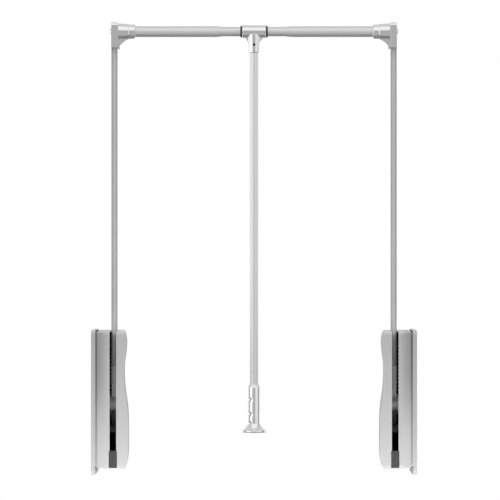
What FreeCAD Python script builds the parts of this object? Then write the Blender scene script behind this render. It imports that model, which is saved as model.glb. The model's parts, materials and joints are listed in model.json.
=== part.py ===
"""Pull down closet rod: two wall units, two swinging arms, a telescoping hang rod and a pull handle.

Millimetres. X runs between the cabinet walls, -Y faces the person, Z is up.
The origin is below the middle of the hang rod, level with the foot of the wall plates.
"""
import FreeCAD, Part
import math
import os
import re
import Sketcher

Vector = FreeCAD.Vector
Rotation = FreeCAD.Rotation

SIZES = [
    ("overall_width", 600.0, "outer face of one wall plate to outer face of the other, closed up"),
    ("rod_height", 820.4, "foot of the wall plate to the hang rod axis"),
    ("pivot_height", 126.0, "foot of the wall plate to the arm pivot"),
    ("swing_angle", 120.0, "travel of the arms, in degrees"),
    ("unit_depth", 110.0, "side unit, front to back"),
    ("arm_offset", 40.2, "wall face to the middle of the arm"),

    ("plate_over_pin", 16.1, "strut pin to the top of the wall plate"),
    ("plate_rim", 7.5, "height of the rim of the wall plate"),
    ("plate_sheet", 2.5, "wall of the wall plate"),
    ("plate_corner", 8.0, "corner radius of the wall plate"),
    ("hole_diameter", 5.5, "wall screw hole"),
    ("hole_rows", 180.0, "wall screw holes, up"),
    ("hole_front_edge", 15.0, "front edge of the wall plate to the front wall screw holes"),
    ("hole_rear_edge", 45.0, "rear edge of the wall plate to the rear wall screw holes"),
    ("sink_diameter", 10.6, "countersink of a wall screw hole"),

    ("shell_wall", 2.5, "wall of the two housing shells"),
    ("shell_top_gap", 2.0, "top of the wall plate to the top of the housing"),
    ("shell_foot_gap", 11.5, "foot of the wall plate to the foot of the housing"),
    ("shell_side_gap", 0.6, "housing set back from the front of the wall plate"),
    ("shell_corner", 8.0, "rounding of the long edges of the housing"),
    ("groove_width", 3.7, "shadow line between wall plate and housing"),
    ("groove_depth", 3.0, "depth of the shadow line"),
    ("crown_drop", 3.5, "fall of the crowned front and back of the housing base, slot to shadow line"),
    ("slot_play", 0.8, "slot edge to the arm, each side"),
    ("slot_back", 2.5, "end of the top slot behind the arm"),
    ("pad_width", 15.3, "slot pad"),
    ("pad_height", 31.0, "slot pad"),
    ("pad_depth", 14.0, "slot pad"),
    ("pad_rise", 1.5, "slot pad above the foot of the housing"),

    ("top_reach", 61.6, "wall face to the room face of the cover, at its top"),
    ("crest_reach", 66.2, "the same at the upper swell"),
    ("waist_reach", 61.8, "the same at the waist"),
    ("belly_reach", 69.6, "the same at the lower swell"),
    ("foot_reach", 61.8, "the same at the foot"),
    ("crest_drop", 21.0, "top of the housing to the upper swell"),
    ("waist_drop", 76.0, "top of the housing to the waist"),
    ("belly_high", 80.0, "foot of the housing to the upper end of the lower swell"),
    ("belly_low", 31.0, "foot of the housing to the lower end of the lower swell"),
    ("cover_lean", 2.6, "lean of the room face of the cover, away from the room at its rear, in degrees"),
    ("cover_edge", 3.0, "rounding around the room face of the cover"),
    ("boss_diameter", 9.0, "cover boss"),
    ("peg_diameter", 6.0, "snap peg of the cover in the bearing plate"),
    ("peg_forward", 25.0, "front snap peg ahead of the pivot"),

    ("bearing_sheet", 2.0, "steel of the bearing plate"),
    ("bearing_margin", 9.0, "bearing plate beyond its pillars"),
    ("window_gap", 1.0, "window of the bearing plate to the spring strut"),
    ("pillar_screw", 4.0, "shank of a pillar screw"),
    ("pillar_screw_head", 8.0, "head of a pillar screw"),
    ("pillar_screw_rise", 2.4, "height of that head"),
    ("pillar_screw_flat", 4.8, "flat on top of that head"),
    ("pillar_screw_length", 11.0, "shank length of a pillar screw"),
    ("stop_share", 0.3423, "rubber sleeve of the two stops, diameter by the room behind the arm"),
    ("pillar_share", 0.7143, "spacer pillar, diameter by the stop sleeve on it"),
    ("stop_sleeve_length", 20.0, "length of those sleeves"),
    ("stop_gap", 0.5, "arm to stop sleeve at both ends of the travel"),
    ("lowered_share", 0.9634, "lowered stop along the lowered arm, by the room ahead of the pivot"),
    ("rear_pillar_share", 0.709, "lower rear pillar behind the arm, by the room behind the arm"),
    ("rear_pillar_height", 30.0, "lower rear pillar above the foot of the plate"),

    ("axle_diameter", 10.0, "pivot axle"),
    ("shoulder_diameter", 18.0, "shoulder of the axle at the wall plate"),
    ("axle_end", 4.0, "axle beyond the bearing plate"),
    ("clip_sheet", 1.2, "axle clip"),
    ("clip_diameter", 16.0, "axle clip"),
    ("clip_groove", 1.0, "depth of the clip groove"),
    ("clip_opening", 7.0, "open side of the axle clip"),
    ("running_gap", 0.05, "radial play of a turning or sliding fit"),
    ("face_gap", 0.15, "end play between turning faces"),

    ("hub_length", 22.0, "hub, along the axle"),
    ("bush_wall", 2.0, "hub bush"),
    ("bush_flange", 1.5, "flange of a hub bush"),
    ("bush_flange_diameter", 18.0, "flange of a hub bush"),
    ("bush_length", 9.0, "hub bush inside the hub"),
    ("end_play", 0.3, "hub between its two faces"),
    ("neck_width", 9.0, "neck of the arm casting"),
    ("neck_depth", 17.0, "neck of the arm casting"),
    ("collar_play", 0.3, "arm casting collar to the slot, each side"),
    ("collar_lip", 1.0, "collar proud of the arm, front and back"),
    ("collar_rise", 38.5, "start of the collar above the pivot"),
    ("collar_length", 34.5, "length of the collar"),
    ("spigot_length", 40.0, "spigots inside the ends of the arm"),
    ("rivet_diameter", 4.0, "arm rivet"),
    ("rivet_step", 18.0, "spacing of the arm rivets"),

    ("cam_share", 0.3912, "base circle of the cam and radius of the hub, by the room behind the arm"),
    ("cam_start_share", 0.6, "lift of the cam with the arm upright, by its base circle"),
    ("cam_width", 12.0, "cam, along the axle"),
    ("contact_gap", 0.3, "cam to follower"),
    ("strut_rise", 123.9, "arm pivot up to the strut pin"),
    ("strut_share", 0.5623, "spring strut behind the arm, by the room behind the arm"),
    ("foot_clear", 0.8, "front edge of the follower to the hub"),
    ("foot_height", 4.0, "follower foot"),
    ("foot_width", 13.0, "follower foot, along the axle"),
    ("seat_height", 3.0, "spring seat on the follower"),
    ("seat_share", 0.5672, "diameter of the spring seats, by the room behind the arm"),
    ("spring_margin", 0.35, "spring seat beyond the spring, all round"),
    ("spring_wire", 2.5, "spring wire"),
    ("spring_turns", 12.0, "turns of the spring"),
    ("spring_rest", 0.1, "spring wire to its seats"),
    ("damper_share", 0.3423, "diameter of the damper cylinder, by the room behind the arm"),
    ("damper_wall", 1.8, "damper cylinder"),
    ("damper_end", 3.0, "ends of the damper cylinder"),
    ("damper_spare", 2.0, "piston to the closed end, arm lowered"),
    ("piston_rod_diameter", 5.0, "piston rod"),
    ("piston_height", 5.0, "piston"),
    ("rod_engagement", 12.0, "piston rod in the cylinder with the arm upright"),
    ("lug_share", 0.2934, "eye of the damper cylinder, by the room behind the arm"),
    ("lug_rise", 11.0, "strut pin above the spring seat"),
    ("pin_diameter", 6.0, "strut pin"),

    ("arm_width", 10.6, "arm tube, along X"),
    ("arm_depth", 22.0, "arm tube, front to back"),
    ("arm_wall", 1.5, "arm tube"),
    ("head_rise", 16.6, "rod axis to the top of the corner head"),
    ("head_depth", 33.2, "corner head, front to back"),
    ("head_round", 6.0, "rounding of the corner head, seen from the side"),
    ("head_drop", 32.9, "rod axis to the foot of the corner head"),
    ("dome_diameter", 11.4, "head of the corner screw"),
    ("dome_rise", 4.5, "head of the corner screw"),
    ("dome_rim", 1.1, "straight rim of that head"),
    ("corner_screw_diameter", 6.0, "shank of the corner screw"),
    ("screw_floor", 1.0, "metal left behind the end of that screw"),
    ("flange_sheet", 2.2, "flange of the tube socket"),
    ("flange_inset", 0.8, "flange inside the outline of the head"),
    ("socket_reach", 33.5, "head face to the mouth of the socket"),
    ("socket_base", 5.5, "bottom of the socket"),
    ("socket_root", 31.0, "diameter of the socket at its flange"),
    ("socket_step", 21.0, "flange face to the step of the socket"),
    ("socket_waist", 28.4, "diameter at that step"),
    ("socket_mouth", 26.4, "diameter of the mouth"),
    ("step_run", 1.2, "slope of that step, along the rod"),
    ("mouth_draft", 0.2, "collar of the socket, larger in radius at the step than at the mouth"),
    ("edge_break", 0.8, "broken edges of socket, tee, bushes and grip"),
    ("gusset_width", 7.0, "gusset of the socket, front to back"),
    ("gusset_foot", 4.8, "gusset at the foot of the flange, along the rod"),
    ("gusset_rise", 6.2, "straight foot of the gusset"),
    ("gusset_radius", 40.0, "hollow of the gusset above that foot"),

    ("tube_diameter", 20.2, "outer hang tube"),
    ("tube_wall", 1.2, "outer hang tube"),
    ("tube_share", 0.759, "outer hang tube, by the way from its socket to the middle"),
    ("tube_taper", 11.0, "tapered end of the outer hang tube"),
    ("tube_lip", 0.35, "wall left at that end"),
    ("rod_diameter", 17.5, "inner hang tube"),
    ("rod_wall", 1.2, "inner hang tube"),
    ("rod_end_gap", 9.0, "end of the inner tube to the bottom of the socket, closed up"),
    ("glide_length", 14.0, "end glide of the inner tube"),
    ("glide_flange", 3.0, "flange of an end glide"),

    ("tee_length", 44.0, "tee sleeve"),
    ("tee_diameter", 23.8, "tee sleeve"),
    ("tee_bush_wall", 1.2, "tee bush"),
    ("tee_bush_flange", 3.3, "black ring of a tee bush"),
    ("tee_bush_ring", 22.0, "diameter of the black ring"),
    ("tee_bush_length", 14.0, "tee bush inside the tee"),
    ("stem_top", 24.6, "stem of the tee below the sleeve"),
    ("stem_foot", 21.2, "stem of the tee at its foot"),
    ("stem_drop", 39.4, "rod axis to the foot of the stem"),
    ("web_reach", 19.0, "webs of the tee, from its middle"),
    ("web_drop", 21.0, "webs of the tee, below the rod axis"),
    ("web_radius", 26.0, "hollow of the webs"),
    ("web_width", 9.0, "webs of the tee, front to back"),
    ("tee_screw_diameter", 5.2, "grub screw of the tee"),
    ("tee_screw_drop", 25.0, "grub screw below the rod axis"),
    ("tee_screw_proud", 0.2, "face of the grub screw ahead of the foot of the stem"),
    ("handle_diameter", 15.8, "pull rod"),
    ("handle_wall", 1.2, "pull rod"),
    ("handle_top_drop", 13.6, "rod axis to the top of the pull rod"),

    ("grip_foot", 75.0, "foot of the wall plate to the underside of the grip"),
    ("grip_diameter", 23.8, "grip over its swells"),
    ("groove_reach", 2.2, "finger grooves, depth on the left"),
    ("groove_shift", 0.45, "share by which the grooves are set over to the left"),
    ("groove_round", 9.0, "radius of a finger groove"),
    ("grip_height", 89.6, "whole grip"),
    ("grip_dome", 7.0, "rounding at the top of the grip"),
    ("grip_lip", 0.8, "wall of the grip at its top"),
    ("groove_low", 18.0, "lowest finger groove above the underside"),
    ("groove_mid", 36.0, "middle finger groove"),
    ("groove_high", 62.5, "highest finger groove"),
    ("flare_height", 15.6, "flared foot of the grip"),
    ("flare_diameter", 38.6, "flare above the rim"),
    ("flare_hollow", 30.0, "hollow of the flare"),
    ("rim_diameter", 46.3, "rim of the grip"),
    ("rim_height", 5.0, "rim of the grip"),
    ("grip_plug", 25.0, "pull rod end above the underside of the grip"),
]

PLACES = [
    ("wall_x", "-overall_width / 2"),
    ("arm_x", "wall_x + arm_offset"),
    ("sheet_x", "wall_x + plate_sheet"),
    ("shell_x", "wall_x + plate_rim + groove_width"),
    ("slot_wall_x", "arm_x - arm_width / 2 - slot_play"),
    ("slot_room_x", "arm_x + arm_width / 2 + slot_play"),
    ("hub_stack", "hub_length / 2 + bush_flange + end_play"),
    ("shoulder_x", "arm_x - hub_stack"),
    ("bearing_x", "arm_x + hub_stack"),
    ("bearing_face_x", "bearing_x + bearing_sheet"),
    ("pillar_length", "bearing_x - sheet_x"),

    ("pin_z", "pivot_height + strut_rise"),
    ("plate_height", "pin_z + plate_over_pin"),
    ("shell_top", "plate_height - shell_top_gap"),
    ("shell_half", "unit_depth / 2 - shell_side_gap"),
    ("front_room", "shell_half - shell_wall"),
    ("rear_room", "shell_half - shell_wall - arm_depth / 2"),
    ("crest_z", "shell_top - crest_drop"),
    ("waist_z", "shell_top - waist_drop"),
    ("belly_high_z", "shell_foot_gap + belly_high"),
    ("belly_low_z", "shell_foot_gap + belly_low"),
    ("pad_z", "shell_foot_gap + pad_rise"),

    ("stop_radius", "stop_share * rear_room / 2"),
    ("pillar_diameter", "2 * stop_radius * pillar_share"),
    ("rear_pillar_back", "arm_depth / 2 + rear_pillar_share * rear_room"),
    ("upright_y", "arm_depth / 2 + stop_radius + stop_gap"),
    ("upright_z", "pin_z"),
    ("collar_depth", "arm_depth + 2 * collar_lip"),
    ("lowered_offset", "collar_depth / 2 + stop_radius + stop_gap"),
    ("lowered_stop_reach", "lowered_share * front_room"),
    ("lowered_y", "-lowered_stop_reach * sin(swing_angle) - lowered_offset * cos(swing_angle)"),
    ("lowered_z", "pivot_height + lowered_stop_reach * cos(swing_angle) - lowered_offset * sin(swing_angle)"),

    ("cam_radius", "cam_share * rear_room"),
    ("cam_start", "cam_start_share * cam_radius"),
    ("hub_diameter", "2 * cam_radius"),
    ("cam_travel", "cam_radius * swing_angle * pi / 180"),
    ("strut_back", "arm_depth / 2 + strut_share * rear_room"),
    ("foot_front", "sqrt(hub_diameter ^ 2 / 4 - cam_start ^ 2) + foot_clear"),
    ("seat_diameter", "seat_share * rear_room"),
    ("spring_mean", "seat_diameter - spring_wire - 2 * spring_margin"),
    ("damper_diameter", "damper_share * rear_room"),
    ("lug_width", "lug_share * rear_room"),
    ("foot_z", "pivot_height + cam_start + contact_gap"),
    ("seat_z", "foot_z + foot_height + seat_height"),
    ("spring_top_z", "pin_z - lug_rise - damper_end"),
    ("spring_length", "spring_top_z - seat_z"),
    ("damper_length", "cam_travel + rod_engagement + damper_end + damper_spare"),
    ("damper_mouth_z", "spring_top_z - damper_length"),
    ("piston_top_z", "damper_mouth_z + rod_engagement"),

    ("collar_z", "pivot_height + collar_rise"),
    ("arm_foot_z", "collar_z + collar_length"),
    ("head_foot_z", "rod_height - head_drop"),
    ("head_top_z", "rod_height + head_rise"),
    ("head_out_x", "arm_x - arm_width / 2"),
    ("head_in_x", "arm_x + arm_width / 2"),
    ("mouth_x", "head_in_x + socket_reach"),
    ("tube_x", "head_in_x + socket_base"),
    ("tube_length", "-tube_x * tube_share"),
    ("rod_half", "-tube_x - rod_end_gap"),

    ("tee_bore", "rod_diameter + 2 * tee_bush_wall + 2 * running_gap"),
    ("handle_top_z", "rod_height - handle_top_drop"),
    ("handle_foot_z", "grip_foot + grip_plug"),
]

size_names = [name for name, value, meaning in SIZES]
place_names = [name for name, formula in PLACES]

doc = FreeCAD.newDocument("PullDownClosetRod")
sizes = doc.addObject("Spreadsheet::Sheet", "Sizes")
places = doc.addObject("Spreadsheet::Sheet", "Places")


def bound(text):
    """An expression in plain size names, with each name led back to its sheet."""
    def owner(match):
        word = match.group(0)
        if word in size_names:
            return "Sizes." + word
        if word in place_names:
            return "Places." + word
        return word
    return re.sub(r"[a-z][a-z_]*", owner, text)


for row, (name, value, meaning) in enumerate(SIZES, 1):
    sizes.set(f"A{row}", meaning)
    sizes.set(f"B{row}", str(value))
    sizes.setAlias(f"B{row}", name)
doc.recompute()
for row, (name, formula) in enumerate(PLACES, 1):
    places.set(f"A{row}", formula)
    places.set(f"B{row}", "=" + bound(formula))
    places.setAlias(f"B{row}", name)
doc.recompute()


def mm(text):
    """The value of an expression in size names."""
    return float(places.evalExpression(bound(text)))


# Turned pieces have their axis on the body's own X, drawn pieces stand on the body's own XY plane.
ALONG_X = Rotation()
ALONG_Y = Rotation(Vector(0, 0, 1), 90)
ALONG_Z = Rotation(Vector(0, 1, 0), -90)
DOWN = Rotation(Vector(0, 1, 0), 90)
SIDE_VIEW = Rotation(Vector(1, 1, 1), 120)
FRONT_VIEW = Rotation(Vector(1, 0, 0), 90)
TOP_VIEW = Rotation()


def place(thing, rotation, origin):
    """Turns an object and ties its origin to three expressions."""
    thing.Placement = FreeCAD.Placement(Vector(), rotation)
    for letter, text in zip("xyz", origin):
        thing.setExpression("Placement.Base." + letter, bound(text))


def arc_between(start, end, radius):
    """The short arc from start to end, turning left for a positive radius."""
    chord = end - start
    middle = (start + end) / 2
    left = Vector(-chord.y, chord.x, 0).normalize()
    rise = math.sqrt(max(radius ** 2 - chord.Length ** 2 / 4, 0))
    centre = middle + left * math.copysign(rise, radius)
    first, last = (start, end) if radius > 0 else (end, start)
    begin = math.atan2(first.y - centre.y, first.x - centre.x)
    finish = math.atan2(last.y - centre.y, last.x - centre.x)
    return Part.ArcOfCircle(Part.Circle(centre, Vector(0, 0, 1), abs(radius)), begin, finish)


def draw(body, corners, lift=None):
    """A closed sketch on the body's XY plane, every corner tied to the sheets.

    A corner is (across, up), or (across, up, radius) when an arc leaves it;
    the arc turns left, or right when the radius text starts with a minus.
    """
    sketch = body.newObject("Sketcher::SketchObject", body.Name + "_outline")
    plane = [part for part in body.Origin.OriginFeatures if part.Role == "XY_Plane"][0]
    sketch.AttachmentSupport = [(plane, "")]
    sketch.MapMode = "FlatFace"
    if lift:
        sketch.setExpression("AttachmentOffset.Base.z", bound(lift))
    points = [Vector(mm(corner[0]), mm(corner[1]), 0) for corner in corners]
    lines, ends = [], []
    for index, corner in enumerate(corners):
        start, end = points[index], points[(index + 1) % len(points)]
        if len(corner) == 3:
            radius = mm(corner[2])
            lines.append(arc_between(start, end, radius))
            ends.append((1, 2) if radius > 0 else (2, 1))
        else:
            lines.append(Part.LineSegment(start, end))
            ends.append((1, 2))
    sketch.addGeometry(lines)
    rules, names = [], []
    for index, corner in enumerate(corners):
        begin, finish = ends[index]
        after = (index + 1) % len(points)
        rules.append(Sketcher.Constraint("Coincident", index, finish, after, ends[after][0]))
        names.append(None)
        rules.append(Sketcher.Constraint("DistanceX", -1, 1, index, begin, points[index].x))
        names.append((f"across{index}", corner[0]))
        rules.append(Sketcher.Constraint("DistanceY", -1, 1, index, begin, points[index].y))
        names.append((f"up{index}", corner[1]))
        if len(corner) == 3:
            rules.append(Sketcher.Constraint("Radius", index, abs(mm(corner[2]))))
            names.append((f"round{index}", corner[2].lstrip("-")))
    sketch.addConstraint(rules)
    for index, entry in enumerate(names):
        if entry:
            sketch.renameConstraint(index, entry[0])
            sketch.setExpression("Constraints." + entry[0], bound(entry[1]))
    return sketch


def turned(label, rotation, origin, corners):
    """A body of revolution; corners are (along the axis, radius)."""
    body = doc.addObject("PartDesign::Body", label)
    sketch = draw(body, corners)
    turn = body.newObject("PartDesign::Revolution", label + "_turn")
    turn.Profile = sketch
    turn.ReferenceAxis = (sketch, ["H_Axis"])
    turn.Angle = 360
    place(body, rotation, origin)
    return body


def drawn(label, rotation, origin, corners, length):
    """A body with one padded sketch."""
    body = doc.addObject("PartDesign::Body", label)
    pad = body.newObject("PartDesign::Pad", label + "_pad")
    pad.Profile = draw(body, corners)
    pad.setExpression("Length", bound(length))
    place(body, rotation, origin)
    return body


def sink(body, corners, lift, depth):
    """A pocket into the body that starts at a height and runs on upwards."""
    pocket = body.newObject("PartDesign::Pocket", body.Name + "_pocket")
    pocket.Profile = draw(body, corners, lift)
    pocket.Reversed = True
    pocket.setExpression("Length", bound(depth))
    return pocket


def bar(label, rotation, origin, radius, length):
    """A plain cylinder whose own axis is Z before it is turned."""
    cylinder = doc.addObject("Part::Cylinder", label)
    cylinder.setExpression("Radius", bound(radius))
    cylinder.setExpression("Height", bound(length))
    place(cylinder, rotation, origin)
    return cylinder


def block(label, origin, length, width, height):
    """A plain box from its lowest corner."""
    box = doc.addObject("Part::Box", label)
    box.setExpression("Length", bound(length))
    box.setExpression("Width", bound(width))
    box.setExpression("Height", bound(height))
    place(box, Rotation(), origin)
    return box


def joined(label, *things):
    fuse = doc.addObject("Part::MultiFuse", label)
    fuse.Shapes = list(things)
    fuse.Refine = True
    return fuse


def less(label, base, *tools):
    cut = doc.addObject("Part::Cut", label)
    cut.Base = base
    cut.Tool = tools[0] if len(tools) == 1 else joined(label + "_tools", *tools)
    cut.Refine = True
    return cut


def shared(label, *things):
    common = doc.addObject("Part::MultiCommon", label)
    common.Shapes = list(things)
    return common


def group(label, *things):
    compound = doc.addObject("Part::Compound", label)
    compound.Links = list(things)
    return compound


def mirror(label, thing):
    mirrored = doc.addObject("Part::Mirroring", label)
    mirrored.Source = thing
    mirrored.Normal = Vector(1, 0, 0)
    mirrored.Base = Vector(0, 0, 0)
    return mirrored


def shaped(label, shape):
    feature = doc.addObject("Part::Feature", label)
    feature.Shape = shape
    return feature


# A cutter runs past the face that it cuts by this, and a joined piece runs into its neighbour by as much.
OVERRUN = "1"

BAR_X = Rotation(Vector(0, 1, 0), 90)
BAR_Y = Rotation(Vector(1, 0, 0), -90)
BAR_Z = Rotation()


def rounded(left, right, low, high, radius):
    """A rectangle with four round corners, run round to the left."""
    return [
        (f"{left} + {radius}", low),
        (f"{right} - {radius}", low, radius),
        (right, f"{low} + {radius}"),
        (right, f"{high} - {radius}", radius),
        (f"{right} - {radius}", high),
        (f"{left} + {radius}", high, radius),
        (left, f"{high} - {radius}"),
        (left, f"{low} + {radius}", radius),
    ]


def stadium(half_width, half_depth):
    """A flat oval along Y with half round ends, each end as two quarter arcs."""
    straight = f"{half_depth} - ({half_width})"
    return [
        (half_width, f"-({straight})"),
        (half_width, straight, half_width),
        ("0", half_depth, half_width),
        (f"-({half_width})", straight),
        (f"-({half_width})", f"-({straight})", half_width),
        ("0", f"-({half_depth})", half_width),
    ]


nodes = []


def keep(thing, label):
    """One piece of the object, as it is."""
    thing.Label = label
    nodes.append(thing)


def keep_pair(thing, label):
    """One piece of the left side and its mirror image on the right."""
    twin = mirror(label + "_twin", thing)
    keep(thing, label + "_left")
    keep(twin, label + "_right")


# The wall plate: a shallow cast pan with a solid foot and four countersunk holes.

plate = drawn("plate", SIDE_VIEW, ("wall_x", "0", "0"),
              rounded("-unit_depth / 2", "unit_depth / 2", "0", "plate_height", "plate_corner"), "plate_rim")
sink(plate, rounded("(-unit_depth / 2 + plate_sheet)", "(unit_depth / 2 - plate_sheet)", "shell_foot_gap",
                    "(plate_height - plate_sheet)", "(plate_corner - plate_sheet)"),
     "plate_sheet", "plate_rim")
wall_holes = []
for hole_y in ("-unit_depth / 2 + hole_front_edge", "unit_depth / 2 - hole_rear_edge"):
    for up in (-1, 1):
        hole_z = f"plate_height / 2 + {up} * hole_rows / 2"
        wall_holes.append(turned("wall_hole", ALONG_X, ("wall_x", hole_y, hole_z), [
            ("-" + OVERRUN, "0"),
            ("plate_sheet + " + OVERRUN, "0"),
            ("plate_sheet + " + OVERRUN, "sink_diameter / 2"),
            ("plate_sheet", "sink_diameter / 2"),
            ("plate_sheet / 2", "hole_diameter / 2"),
            ("-" + OVERRUN, "hole_diameter / 2"),
        ]))
keep_pair(less("plate_drilled", plate, *wall_holes), "wall_plate")

# The bearing plate stands on three pillars, parallel to the wall plate, and closes the frame.

pillar_spots = [("upright_y", "upright_z"), ("lowered_y", "lowered_z"),
                ("rear_pillar_back", "rear_pillar_height")]
peg_spots = [("-peg_forward", "pivot_height - collar_rise / 2"),
             ("rear_pillar_back / 2", "pivot_height - cam_start - collar_rise")]
bearing = drawn("bearing", SIDE_VIEW, ("bearing_x", "0", "0"), rounded(
    "(lowered_y - bearing_margin)", "(strut_back + seat_diameter / 2)",
    "(rear_pillar_height - bearing_margin)", "(upright_z + bearing_margin)", "bearing_margin"),
    "bearing_sheet")
bearing_holes = [bar("bearing_axle_hole", BAR_X, ("bearing_x - " + OVERRUN, "0", "pivot_height"),
                     "axle_diameter / 2", "bearing_sheet + 2 * " + OVERRUN),
                 bar("bearing_pin_hole", BAR_X, ("bearing_x - " + OVERRUN, "strut_back", "pin_z"),
                     "pin_diameter / 2", "bearing_sheet + 2 * " + OVERRUN),
                 block("bearing_window",
                       ("bearing_x - " + OVERRUN, "strut_back - seat_diameter / 2 - window_gap",
                        "foot_z - window_gap"),
                       "bearing_sheet + 2 * " + OVERRUN, "unit_depth",
                       "spring_top_z + damper_end - foot_z + 2 * window_gap")]
for spot_y, spot_z in pillar_spots:
    bearing_holes.append(bar("bearing_screw_hole", BAR_X, ("bearing_x - " + OVERRUN, spot_y, spot_z),
                             "pillar_screw / 2", "bearing_sheet + 2 * " + OVERRUN))
for spot_y, spot_z in peg_spots:
    bearing_holes.append(bar("bearing_peg_hole", BAR_X, ("bearing_x - " + OVERRUN, spot_y, spot_z),
                             "peg_diameter / 2", "bearing_sheet + 2 * " + OVERRUN))
keep_pair(less("bearing_drilled", bearing, *bearing_holes), "bearing_plate")

pillars, pillar_screws = [], []
for spot_y, spot_z in pillar_spots:
    pillars.append(turned("pillar", ALONG_X, ("sheet_x", spot_y, spot_z), [
        ("0", "0"),
        ("pillar_length + bearing_sheet - pillar_screw_length", "0"),
        ("pillar_length + bearing_sheet - pillar_screw_length", "pillar_screw / 2"),
        ("pillar_length", "pillar_screw / 2"),
        ("pillar_length", "pillar_diameter / 2"),
        ("0", "pillar_diameter / 2"),
    ]))
    pillar_screws.append(turned("pillar_screw_one", ALONG_X, ("bearing_face_x", spot_y, spot_z), [
        ("-pillar_screw_length", "0"),
        ("pillar_screw_rise", "0"),
        ("pillar_screw_rise", "pillar_screw_flat / 2"),
        ("pillar_screw_rise / 2", "pillar_screw_head / 2"),
        ("0", "pillar_screw_head / 2"),
        ("0", "pillar_screw / 2"),
        ("-pillar_screw_length", "pillar_screw / 2"),
    ]))
keep_pair(group("pillar_set", *pillars), "spacer_pillars")
keep_pair(group("pillar_screw_set", *pillar_screws), "pillar_screws")

sleeves = []
for spot_y, spot_z in pillar_spots[:2]:
    sleeves.append(turned("stop_sleeve", ALONG_X, ("arm_x - stop_sleeve_length / 2", spot_y, spot_z), [
        ("0", "pillar_diameter / 2"),
        ("stop_sleeve_length", "pillar_diameter / 2"),
        ("stop_sleeve_length", "stop_radius"),
        ("0", "stop_radius"),
    ]))
keep_pair(group("stop_sleeve_set", *sleeves), "stop_sleeves")

# The axle is stepped at the wall plate and held behind the bearing plate by a clip in a groove.

keep_pair(turned("axle", ALONG_X, ("sheet_x", "0", "pivot_height"), [
    ("0", "0"),
    ("pillar_length + bearing_sheet + axle_end", "0"),
    ("pillar_length + bearing_sheet + axle_end", "axle_diameter / 2"),
    ("pillar_length + bearing_sheet + face_gap + clip_sheet", "axle_diameter / 2"),
    ("pillar_length + bearing_sheet + face_gap + clip_sheet", "axle_diameter / 2 - clip_groove"),
    ("pillar_length + bearing_sheet + face_gap", "axle_diameter / 2 - clip_groove"),
    ("pillar_length + bearing_sheet + face_gap", "axle_diameter / 2"),
    ("shoulder_x - sheet_x", "axle_diameter / 2"),
    ("shoulder_x - sheet_x", "shoulder_diameter / 2"),
    ("0", "shoulder_diameter / 2"),
]), "pivot_axle")
clip_ring = turned("clip_ring", ALONG_X, ("bearing_face_x + face_gap", "0", "pivot_height"), [
    ("0", "axle_diameter / 2 - clip_groove"),
    ("clip_sheet", "axle_diameter / 2 - clip_groove"),
    ("clip_sheet", "clip_diameter / 2"),
    ("0", "clip_diameter / 2"),
])
clip_mouth = block("clip_mouth", ("bearing_face_x - " + OVERRUN, "-clip_opening / 2",
                                  "pivot_height - clip_diameter"),
                   "clip_sheet + 2 * " + OVERRUN, "clip_opening", "clip_diameter")
keep_pair(less("clip_open", clip_ring, clip_mouth), "axle_clip")

# The housing base: a ring of walls between wall plate and slot, stepped in at the shadow line.


def crown(inset):
    """The base from above: front and back fall off in an arc from slot to wall, pulled in by an inset."""
    half = f"(shell_half - {inset})"
    width = f"(slot_wall_x - shell_x - {inset})"
    radius = f"({width} ^ 2 + crown_drop ^ 2) / (2 * crown_drop)"
    return [
        (inset, f"-({half} - crown_drop)", radius),
        ("slot_wall_x - shell_x", f"-{half}"),
        ("2 * arm_offset", f"-{half}"),
        ("2 * arm_offset", half),
        ("slot_wall_x - shell_x", half, radius),
        (inset, f"{half} - crown_drop"),
    ]


base_side = drawn("base_side", SIDE_VIEW, ("shell_x", "0", "0"),
                  rounded("-shell_half", "shell_half", "shell_foot_gap", "shell_top", "shell_corner"),
                  "slot_room_x - shell_x")
base_top = drawn("base_top", TOP_VIEW, ("shell_x", "0", "0"), crown("0"), "plate_height")
base = shared("base", base_side, base_top)
base_step = drawn("base_step", SIDE_VIEW, ("sheet_x", "0", "0"), rounded(
    "(-shell_half + crown_drop + groove_depth)", "(shell_half - crown_drop - groove_depth)",
    "(shell_foot_gap + groove_depth)",
    "(shell_top - groove_depth)", "(shell_corner - groove_depth)"), "shell_x - sheet_x + shell_wall")
base_room_side = drawn("base_room_side", SIDE_VIEW, ("shell_x + shell_wall", "0", "0"), rounded(
    "(-shell_half + shell_wall)", "(shell_half - shell_wall)", "(shell_foot_gap + shell_wall)",
    "(shell_top - shell_wall)", "(shell_corner - shell_wall)"), "arm_offset + arm_width")
base_room_top = drawn("base_room_top", TOP_VIEW, ("shell_x", "0", "0"), crown("shell_wall"), "plate_height")
base_room = shared("base_room", base_room_side, base_room_top)
base_step_room = drawn("base_step_room", SIDE_VIEW, ("sheet_x - " + OVERRUN, "0", "0"), rounded(
    "(-shell_half + crown_drop + groove_depth + shell_wall)",
    "(shell_half - crown_drop - groove_depth - shell_wall)", "(shell_foot_gap + groove_depth + shell_wall)",
    "(shell_top - groove_depth - shell_wall)", "(shell_corner - groove_depth - shell_wall)"), "arm_offset")
slot_cut = drawn("slot_cut", SIDE_VIEW, ("slot_wall_x", "0", "0"), [
    ("-unit_depth", "pad_z + pad_height"),
    ("-shell_half + pad_depth", "pad_z + pad_height"),
    ("-shell_half + pad_depth", "shell_top - shell_wall - shell_corner"),
    ("arm_depth / 2 + slot_back", "shell_top - shell_wall - shell_corner"),
    ("arm_depth / 2 + slot_back", "shell_top + " + OVERRUN),
    ("-unit_depth", "shell_top + " + OVERRUN),
], "slot_room_x - slot_wall_x + " + OVERRUN)
pad_box = block("pad_box", ("arm_x - pad_width / 2", "-unit_depth / 2", "pad_z"),
                "pad_width", "pad_depth", "pad_height")
base_walls = joined("base_walls", base, base_step)
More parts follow.
